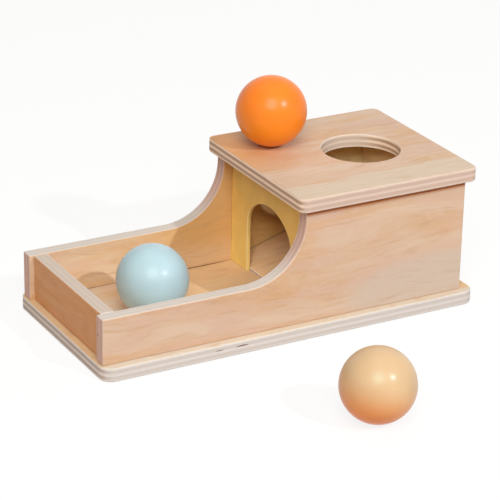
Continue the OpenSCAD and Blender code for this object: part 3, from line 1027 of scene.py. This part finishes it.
class BALLBOX_OT_base_plate(bpy.types.Operator):
    """Lay the base plate, with its veneer, its layered edge and the small gaps in its core"""
    bl_idname = "ballbox.base_plate"
    bl_label = "Base plate"

    def execute(self, context):
        boards = context.scene.ballbox_boards
        low, high = corners("base_plate")
        near_wall = corners("near_side_panel")[0].y
        far_wall = corners("far_side_panel")[0].y
        tray_end = corners("tray_end_panel")[0].x
        marks = [Mark((along, low.y, height), radii, share) for along, height, radii, share in CORE_GAPS]
        marks += [Mark((along, far_wall, high.z), radii, share) for along, radii, share in FLOOR_SHADE_LINES]
        strip = Span(tray_end + STRIP_BLEND, tray_end, STRIP_SHARE)
        ledge = Span(near_wall + LEDGE_BLEND, near_wall - LEDGE_BLEND, LEDGE_SHARE)

        def floor_and_ledge(finish, axes):
            along, across, _ = axes
            return (
                (finish.come_in(along, FLOOR_WARM_SHADE), boards.honey_and_shade),
                (finish.come_in(along, PALE_FLOOR), boards.pale_patch),
                (finish.come_in(along, strip), boards.honey_and_shade),
                (finish.come_in(across, ledge), boards.pale_patch),
            )

        board = Board(
            "base_plate", X, Z, seed=1.0, ply_contrast=0.75, tone=(0.97, 1.07, 1.08),
            edge_tone=(0.93, 0.965, 0.94))
        material = plywood("base_plywood", board, floor_and_ledge, marks)
        finish_board("base_board", "base_plate", boards.easing, material)
        return {"FINISHED"}


# How deep the tints of an inner face reach into its board
INSIDE_DEPTH = 2.0
# The painted light on the low part of the chamber's walls, going down, and where it starts along the far
# wall
LIT_BELOW = Span(77.0, 61.0)
LIT_ALONG = Span(62.0, 74.0)
# The near panel's pale patch, and the pin hole in its end painted as the shadow inside it: place across and
# up, radius and strength
NEAR_PATCH = Mark((98.0, -56.5, 16.0), (75.0, 40.0, 27.0), 0.8)
PIN_HOLE_ACROSS = -50.0
PIN_HOLE_HEIGHT = 26.7
PIN_HOLE_RADIUS = 0.8
PIN_HOLE_STRENGTH = 0.8
# The painted shadow that the lid's overhang throws on the near side's top: how far below the panel's top it
# starts and is full, and its share
LID_SHADOW_START = 5.0
LID_SHADOW_FULL = 2.4
LID_SHADOW_SHARE = 0.9
# The far wall's painted warm shade and the painted shade behind the arch: place along X and up, radii and
# strength
WALL_WARM_SHADE_AREA = (20.0, 84.0, (104.0, 60.0, 84.0), 0.75)
ARCH_SHADE = (58.0, 50.0, (34.0, 12.0, 27.0), 0.75)
WALL_WARM_SHADE_SPAN = Span(-80.0, -40.0, 0.3)


class BALLBOX_OT_side_panels(bpy.types.Operator):
    """Stand both side panels on the base, with their swept top edges eased"""
    bl_idname = "ballbox.side_panels"
    bl_label = "Side panels"

    def execute(self, context):
        boards = context.scene.ballbox_boards
        low, high = corners("near_side_panel")
        pin_hole = Mark(
            (low.x, PIN_HOLE_ACROSS, PIN_HOLE_HEIGHT), (PIN_HOLE_RADIUS, PIN_HOLE_RADIUS, PIN_HOLE_RADIUS),
            PIN_HOLE_STRENGTH)
        lid_shadow_band = Span(high.z - LID_SHADOW_START, high.z - LID_SHADOW_FULL, LID_SHADOW_SHARE)
        divider = corners("divider_panel")[0].x
        far_face = corners("far_side_panel")[0].y

        def on_far_face(along, height, radii, strength):
            return Mark((along, far_face, height), radii, strength)

        # The near side's pale patch, and the painted shadow of the lid along its top
        def patch_and_lid_shadow(finish, axes):
            up = axes[1]
            patch = finish.spot(NEAR_PATCH)
            return (patch, boards.pale_patch), (finish.come_in(up, lid_shadow_band), boards.lid_shadow)

        # Painted warm shade beside the box, and painted light and shade on the inside of the chamber
        def far_wall_shade_and_light(finish, axes):
            along, up, inward = axes
            inside = finish.math("LESS_THAN", inward, INSIDE_DEPTH)
            honey_and_shade = finish.spot(on_far_face(*WALL_WARM_SHADE_AREA))
            honey_and_shade = finish.math("MAXIMUM", honey_and_shade, finish.come_in(along, WALL_WARM_SHADE_SPAN))
            chamber = finish.product(finish.math("GREATER_THAN", along, divider), inside)
            lit = finish.product(finish.come_in(up, LIT_BELOW), finish.come_in(along, LIT_ALONG), inside)
            shade = finish.product(finish.spot(on_far_face(*ARCH_SHADE)), chamber)
            return (
                (finish.product(honey_and_shade, inside), boards.honey_and_shade),
                (chamber, boards.inner),
                (lit, boards.lit_inner),
                (shade, boards.inner_shade),
            )

        panels = (
            ("near_side", 11.0, 18.0, (0.863, 0.887, 0.905), patch_and_lid_shadow, (pin_hole,)),
            ("far_side", 17.0, 30.0, (0.97, 1.03, 0.97), far_wall_shade_and_light, ()),
        )
        for name, seed, swirl, tone, tinted, marks in panels:
            node = name + "_panel"
            board = Board(
                node, X, Y, seed, swirl=swirl, ply_contrast=0.35, sanded=0.15, tone=tone,
                edge_tone=(0.89, 0.885, 0.8), end_tone=(0.9, 0.65, 0.57))
            material = plywood(name + "_plywood", board, tinted, marks)
            finish_board(name + "_board", node, boards.easing, material)
        return {"FINISHED"}


class BALLBOX_OT_end_panels(bpy.types.Operator):
    """Set the tray end and the box end between the side panels"""
    bl_idname = "ballbox.end_panels"
    bl_label = "End panels"

    def execute(self, context):
        boards = context.scene.ballbox_boards

        # Painted light on the inside face of the box end
        def painted_light_inside(finish, axes):
            _, up, inward = axes
            inside = finish.math("LESS_THAN", inward, INSIDE_DEPTH)
            lit = finish.product(finish.come_in(up, LIT_BELOW), inside)
            return (inside, boards.inner), (lit, boards.lit_inner)

        panels = (
            # The tray end's tone is darker and more orange than the other boards' to paint the shade on its
            # outer face
            ("tray_end", 23.0, (0.95, 0.7, 0.465), None),
            ("box_end", 29.0, PLAIN, painted_light_inside),
        )
        for name, seed, tone, tinted in panels:
            node = name + "_panel"
            board = Board(
                node, Y, X, seed, swirl=22.0, ply_contrast=0.35, sanded=0.15, tone=tone,
                edge_tone=(0.82, 0.76, 0.65))
            finish_board(name + "_board", node, boards.easing, plywood(name + "_plywood", board, tinted))
        return {"FINISHED"}


class BALLBOX_OT_divider(bpy.types.Operator):
    """Slide the painted divider into its grooves"""
    bl_idname = "ballbox.divider"
    bl_label = "Divider"

    def execute(self, context):
        boards = context.scene.ballbox_boards
        finish_board(
            "divider_sheet", "divider_panel", boards.thin_easing, sheet_paint(), "yellow_paint")
        return {"FINISHED"}


# The border of the lid's sapwood: the length of its waves, how far they reach, where it lies across the
# lid, and how sharply the sapwood starts beyond it
BORDER_WAVE = 45.0
BORDER_REACH = 12.0
BORDER_ACROSS = -44.5
BORDER_SEED = 4.4
SAPWOOD_EDGE = Span(-0.8, 1.6, 0.85)
HEART_ALONG = Span(46.0, 4.0, 0.75)
HEART_ACROSS = Span(-22.0, 24.0)
# The wall of the drop hole is lighter than the lid's other edges, out to this far beyond the hole
HOLE_MARGIN = 5.0
HOLE_TONE = (1.1, 1.17, 1.12)


class BALLBOX_OT_lid(bpy.types.Operator):
    """Lay the lid on the box, with its drop hole and the sapwood strip along its near side"""
    bl_idname = "ballbox.lid"
    bl_label = "Lid"

    def execute(self, context):
        boards = context.scene.ballbox_boards
        mounts = {mount["name"]: mount for mount in frame["record"]["mounts"]}
        hole = mounts["drop_hole"]

        def sapwood_and_heart(finish, axes):
            along, across, _ = axes
            wave = finish.join(finish.math("DIVIDE", along, BORDER_WAVE), 0.0, BORDER_SEED)
            wander = finish.noise(wave, detail=1.0)
            border = finish.math("MULTIPLY_ADD", wander, BORDER_REACH, BORDER_ACROSS)
            strip = finish.come_in(finish.math("SUBTRACT", border, across), SAPWOOD_EDGE)
            # The warm end: heartwood with painted shade and orange bounce light beside the orange ball
            heart_and_shade = finish.product(finish.come_in(along, HEART_ALONG), finish.come_in(across, HEART_ACROSS))
            return (heart_and_shade, boards.heartwood_and_shade), (strip, boards.sapwood)

        def hole_wall(finish, axes):
            along, across, _ = axes
            from_hole = finish.math("SUBTRACT", along, hole["pos_m"][X] / MM)
            reach = finish.vector("LENGTH", finish.join(from_hole, across, 0.0))
            return finish.math("LESS_THAN", reach, hole["dims"]["r_mm"] + HOLE_MARGIN), HOLE_TONE

        board = Board(
            "lid_panel", X, Z, seed=5.0, swirl=20.0, sanded=0.6, tone=(0.85, 0.893, 0.91),
            edge_tone=(0.94, 0.8, 0.69), end_tone=(1.15, 0.98, 0.815))
        material = plywood("lid_plywood", board, sapwood_and_heart, edge_tinted=hole_wall)
        finish_board("lid_board", "lid_panel", boards.easing, material)
        return {"FINISHED"}


# The painted shade along the ramp's far edge, where it meets the far wall: how far in from the edge it
# starts and is full, and its share
RAMP_SHADE_START = 1.4
RAMP_SHADE_FULL = 0.6
RAMP_SHADE_SHARE = 0.8
BEARER_FIBRES = (1.2, 16, 1.2)


class BALLBOX_OT_ramp(bpy.types.Operator):
    """Fit the ramp and the bearer under its top end"""
    bl_idname = "ballbox.ramp"
    bl_label = "Ramp"

    def execute(self, context):
        boards = context.scene.ballbox_boards
        far_edge = corners("ramp_board")[1].y
        line = Span(far_edge - RAMP_SHADE_START, far_edge - RAMP_SHADE_FULL, RAMP_SHADE_SHARE)

        def far_edge_shade(finish, axes):
            across = axes[1]
            return ((finish.come_in(across, line), boards.gap_shadow),)

        # The ramp's tone is raised above plain, which paints light on it inside the box
        board = Board(
            "ramp_board", X, Z, seed=37.0, tilt=slope_of("ramp_board"), ply_contrast=0.8,
            tone=(1.237, 1.237, 1.009))
        material = plywood("ramp_plywood", board, far_edge_shade)
        finish_board("ramp_sheet", "ramp_board", boards.thin_easing, material)
        bearer = beech("bearer_beech", BEARER_FIBRES)
        finish_board("ramp_bearer_strip", "ramp_bearer", boards.thin_easing, bearer, "beech")
        return {"FINISHED"}


# How far each screw's slot is turned from the last one's, in radians
SLOT_TURN = 0.7
# The dowels' fibres: their length along the dowel and their width
DOWEL_FIBRE_LENGTH = 9.0
DOWEL_FIBRE_WIDTH = 0.5
UPRIGHT = (0.0, 0.0, 0.0)
# Turns an upright dowel to lie along Y
ALONG_Y = (-math.pi / 2, 0.0, 0.0)


class BALLBOX_OT_fixings(bpy.types.Operator):
    """Drive the base screws and set the hidden dowels"""
    bl_idname = "ballbox.fixings"
    bl_label = "Screws and dowels"

    def execute(self, context):
        self.drive_screws(context.scene.ballbox_fixings)
        self.set_dowels(context.scene.ballbox_fixings)
        return {"FINISHED"}

    def drive_screws(self, fixings):
        boxes = solid_boxes("base_screws")
        places = [((low.x + high.x) / 2, (low.y + high.y) / 2, low.z) for low, high in boxes]
        turns = [(0.0, 0.0, SLOT_TURN * index) for index in range(len(places))]
        low, high = boxes[0]
        length = high.z - low.z
        head_radius = (high.x - low.x) / 2
        # The slot reaches out to the middle of the thread
        core_radius = fixings.slot_length / 2 - fixings.thread_depth / 2
        head_height = head_radius - core_radius
        point = 2 * core_radius
        values = {
            "HeadRadius": head_radius,
            "CoreRadius": core_radius,
            "HeadHeight": head_height,
            "Length": length,
            "Point": point,
            "ThreadDepth": fixings.thread_depth,
            "Turns": (length - head_height - point) / fixings.thread_pitch,
            "SlotWidth": fixings.slot_width,
            "SlotLength": fixings.slot_length,
            "SlotDepth": fixings.slot_depth,
            "Material": zinc_steel(),
        }
        piece = grown("base_screw_set", screw_tree(), places, turns, values)
        settle(piece, BOX, "zinc_steel", "base_screws")

    def set_dowels(self, fixings):
        tree = dowel_tree()
        for node in ("lid_dowels", "tray_end_dowels", "box_end_dowels"):
            boxes = solid_boxes(node)
            size = boxes[0][1] - boxes[0][0]
            axis = max((X, Y, Z), key=lambda index: size[index])
            places = []
            for low, high in boxes:
                place = (low + high) / 2
                place[axis] = low[axis]
                places.append(tuple(place))
            turns = [UPRIGHT if axis == Z else ALONG_Y] * len(places)
            fibres = [DOWEL_FIBRE_WIDTH] * 3
            fibres[axis] = DOWEL_FIBRE_LENGTH
            values = {
                "Radius": min(size) / 2,
                "Length": max(size),
                "Flutes": fixings.flutes,
                "Depth": fixings.flute_depth,
                "Chamfer": fixings.dowel_chamfer,
                "Material": beech(node + "_beech", tuple(fibres)),
            }
            piece = grown(node + "_set", tree, places, turns, values)
            settle(piece, BOX, "beech", node)


# Each ball's seed, and the way from its centre to the speck where a pin held it
BALLS = (
    ("orange", 1.0, (0.342, -0.811, 0.476)),
    ("blue", 2.0, (0.4, 0.8, 0.3)),
    ("peach", 3.0, (0.6, 0.7, -0.2)),
)


class BALLBOX_OT_balls(bpy.types.Operator):
    """Set out the three painted balls"""
    bl_idname = "ballbox.balls"
    bl_label = "Balls"

    def execute(self, context):
        paints = context.scene.ballbox_paints
        settings = context.scene.ballbox_balls
        tree = ball_tree()
        for name, seed, to_pin in BALLS:
            node = name + "_ball"
            low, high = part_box(node)
            centre = (low + high) / 2
            radius = min(high - low) / 2
            pin_place = (centre + Vector(to_pin).normalized() * radius) / MM
            colour, low_light, gloss = (
                getattr(paints, choice) for choice in (name, name + "_underside", name + "_gloss"))
            paint = ball_paint(
                name + "_paint", colour, low_light, gloss, centre / MM, radius / MM, seed, pin_place)
            values = {
                "Radius": radius,
                "Faces": settings.faces_per_side,
                "OutOfRound": settings.out_of_round,
                "Seed": seed,
                "Material": paint,
            }
            piece = grown(node + "_turned", tree, [tuple(centre)], [UPRIGHT], values)
            settle(piece, node, name + "_paint", node)
        return {"FINISHED"}


# Stage

WHITE = (1.0, 1.0, 1.0, 1.0)
# The floor reaches this far from the middle, and lies just below the base
FLOOR_REACH = 4.0
FLOOR_DROP = 0.2 * MM
SENSOR_WIDTH = 36.0


class LampPlace(NamedTuple):
    """The way from the aim to a lamp, its distance and its size in metres, and whether gloss mirrors it."""
    direction: tuple
    distance: float
    size: float
    mirrored: bool


LAMPS = {
    "key": LampPlace((-0.35, -0.63, 0.69), 2.2, 1.3, True),
    "side": LampPlace((0.299, -0.744, 0.596), 2.5, 0.07, True),
    "top": LampPlace((0.0, 0.2, 0.98), 2.0, 1.6, False),
    "left": LampPlace((-0.87, -0.29, 0.4), 2.2, 1.4, False),
    "right": LampPlace((0.86, -0.45, 0.25), 2.2, 1.4, False),
    "back": LampPlace((0.61, 0.75, 0.25), 2.4, 1.2, False),
}


def hang_lamp(name, place, aim, power, colour):
    """A round lamp that looks at the aim."""
    data = bpy.data.lights.new(name, "AREA")
    data.shape = "DISK"
    data.size = place.size
    data.energy = power
    data.color = colour
    towards = Vector(place.direction).normalized()
    lamp = bpy.data.objects.new(name, data)
    lamp.location = Vector(aim) + towards * place.distance
    lamp.rotation_euler = towards.to_track_quat("Z", "Y").to_euler()
    lamp.visible_glossy = place.mirrored
    bpy.context.scene.collection.objects.link(lamp)


def seen_directly(graph):
    """1 for rays that look straight at a surface, mirror it or pass through glass to it."""
    rays = graph.add("ShaderNodeLightPath").outputs
    seen = graph.math("MAXIMUM", rays["Is Camera Ray"], rays["Is Glossy Ray"])
    return graph.math("MAXIMUM", seen, rays["Is Transmission Ray"])


class BALLBOX_OT_stage(bpy.types.Operator):
    """Set up the white floor, the lamps and the camera"""
    bl_idname = "ballbox.stage"
    bl_label = "Stage"

    def execute(self, context):
        studio = context.scene.ballbox_studio
        context.scene.view_settings.view_transform = "Standard"
        self.lay_floor(studio)
        self.fill_world(context.scene, studio)
        self.hang_lamps(studio)
        self.set_camera(context.scene, studio)
        return {"FINISHED"}

    def lay_floor(self, studio):
        mesh = bpy.data.meshes.new("floor")
        ways = ((-1, -1), (1, -1), (1, 1), (-1, 1))
        verts = [(x * FLOOR_REACH, y * FLOOR_REACH, -FLOOR_DROP) for x, y in ways]
        mesh.from_pydata(verts, [], [range(len(verts))])
        floor = bpy.data.objects.new("floor", mesh)
        bpy.context.scene.collection.objects.link(floor)
        material = bpy.data.materials.new("studio_floor")
        material.use_nodes = True
        graph = Graph(material.node_tree)
        matt = graph.add("ShaderNodeBsdfDiffuse", {"Color": opaque(studio.floor)}).outputs[0]
        white = graph.add("ShaderNodeEmission", {"Color": WHITE, "Strength": 1.0}).outputs[0]
        seen = graph.add("ShaderNodeMixShader", {0: studio.floor_glow, 1: matt, 2: white}).outputs[0]
        bounce = graph.add("ShaderNodeBsdfDiffuse", {"Color": opaque(studio.floor_bounce)}).outputs[0]
        shown = graph.add("ShaderNodeMixShader", {0: seen_directly(graph), 1: bounce, 2: seen}).outputs[0]
        graph.add("ShaderNodeOutputMaterial", {"Surface": shown})
        mesh.materials.append(material)

    def fill_world(self, scene, studio):
        world = bpy.data.worlds.new("studio_world")
        world.use_nodes = True
        scene.world = world
        graph = Graph(world.node_tree)
        inputs = {"Color": opaque(studio.fill_colour), "Strength": studio.fill}
        fill = graph.add("ShaderNodeBackground", inputs).outputs[0]
        white = graph.add("ShaderNodeBackground", {"Color": WHITE, "Strength": 1.0}).outputs[0]
        shown = graph.add("ShaderNodeMixShader", {0: seen_directly(graph), 1: fill, 2: white}).outputs[0]
        graph.add("ShaderNodeOutputWorld", {"Surface": shown})

    def hang_lamps(self, studio):
        for name, place in LAMPS.items():
            power = getattr(studio, name + "_power")
            colour = getattr(studio, name + "_colour")
            hang_lamp(name + "_lamp", place, studio.aim, power, colour)

    def set_camera(self, scene, studio):
        data = bpy.data.cameras.new("camera")
        data.sensor_width = SENSOR_WIDTH
        data.lens = studio.lens
        camera = bpy.data.objects.new("camera", data)
        scene.collection.objects.link(camera)
        level = math.cos(studio.elevation)
        across = math.sin(studio.azimuth) * level
        nearer = math.cos(studio.azimuth) * level
        back = Vector((across, -nearer, math.sin(studio.elevation)))
        turn = back.to_track_quat("Z", "Y").to_matrix() @ Matrix.Rotation(studio.roll, 3, "Z")
        camera.rotation_euler = turn.to_euler()
        camera.location = Vector(studio.aim) + back * studio.distance
        scene.camera = camera


# The add-on

PIECES = (
    BALLBOX_OT_base_plate,
    BALLBOX_OT_side_panels,
    BALLBOX_OT_end_panels,
    BALLBOX_OT_divider,
    BALLBOX_OT_lid,
    BALLBOX_OT_ramp,
    BALLBOX_OT_fixings,
    BALLBOX_OT_balls,
    BALLBOX_OT_stage,
)


class BALLBOX_PT_panel(bpy.types.Panel):
    """Lists the pieces of the box and their settings"""
    bl_idname = "BALLBOX_PT_panel"
    bl_label = "Object permanence box"
    bl_space_type = "VIEW_3D"
    bl_region_type = "UI"
    bl_category = "Ball box"

    def draw(self, context):
        for piece in PIECES:
            self.layout.operator(piece.bl_idname)
        for group in SETTINGS:
            settings = getattr(context.scene, group)
            column = self.layout.column()
            for name in settings.__annotations__:
                column.prop(settings, name)


SETTINGS = {
    "ballbox_boards": BoardSettings,
    "ballbox_paints": PaintSettings,
    "ballbox_balls": BallSettings,
    "ballbox_fixings": FixingSettings,
    "ballbox_studio": StudioSettings,
}
CLASSES = (*SETTINGS.values(), *PIECES, BALLBOX_PT_panel)


def register():
    for item in CLASSES:
        bpy.utils.register_class(item)
    for name, group in SETTINGS.items():
        setattr(bpy.types.Scene, name, bpy.props.PointerProperty(type=group))


def unregister():
    for name in SETTINGS:
        delattr(bpy.types.Scene, name)
    for item in reversed(CLASSES):
        bpy.utils.unregister_class(item)


def main():
    register()
    bpy.ops.ballbox.base_plate()
    bpy.ops.ballbox.side_panels()
    bpy.ops.ballbox.end_panels()
    bpy.ops.ballbox.divider()
    bpy.ops.ballbox.lid()
    bpy.ops.ballbox.ramp()
    bpy.ops.ballbox.fixings()
    bpy.ops.ballbox.balls()
    bpy.ops.ballbox.stage()


if __name__ == "__main__":
    main()
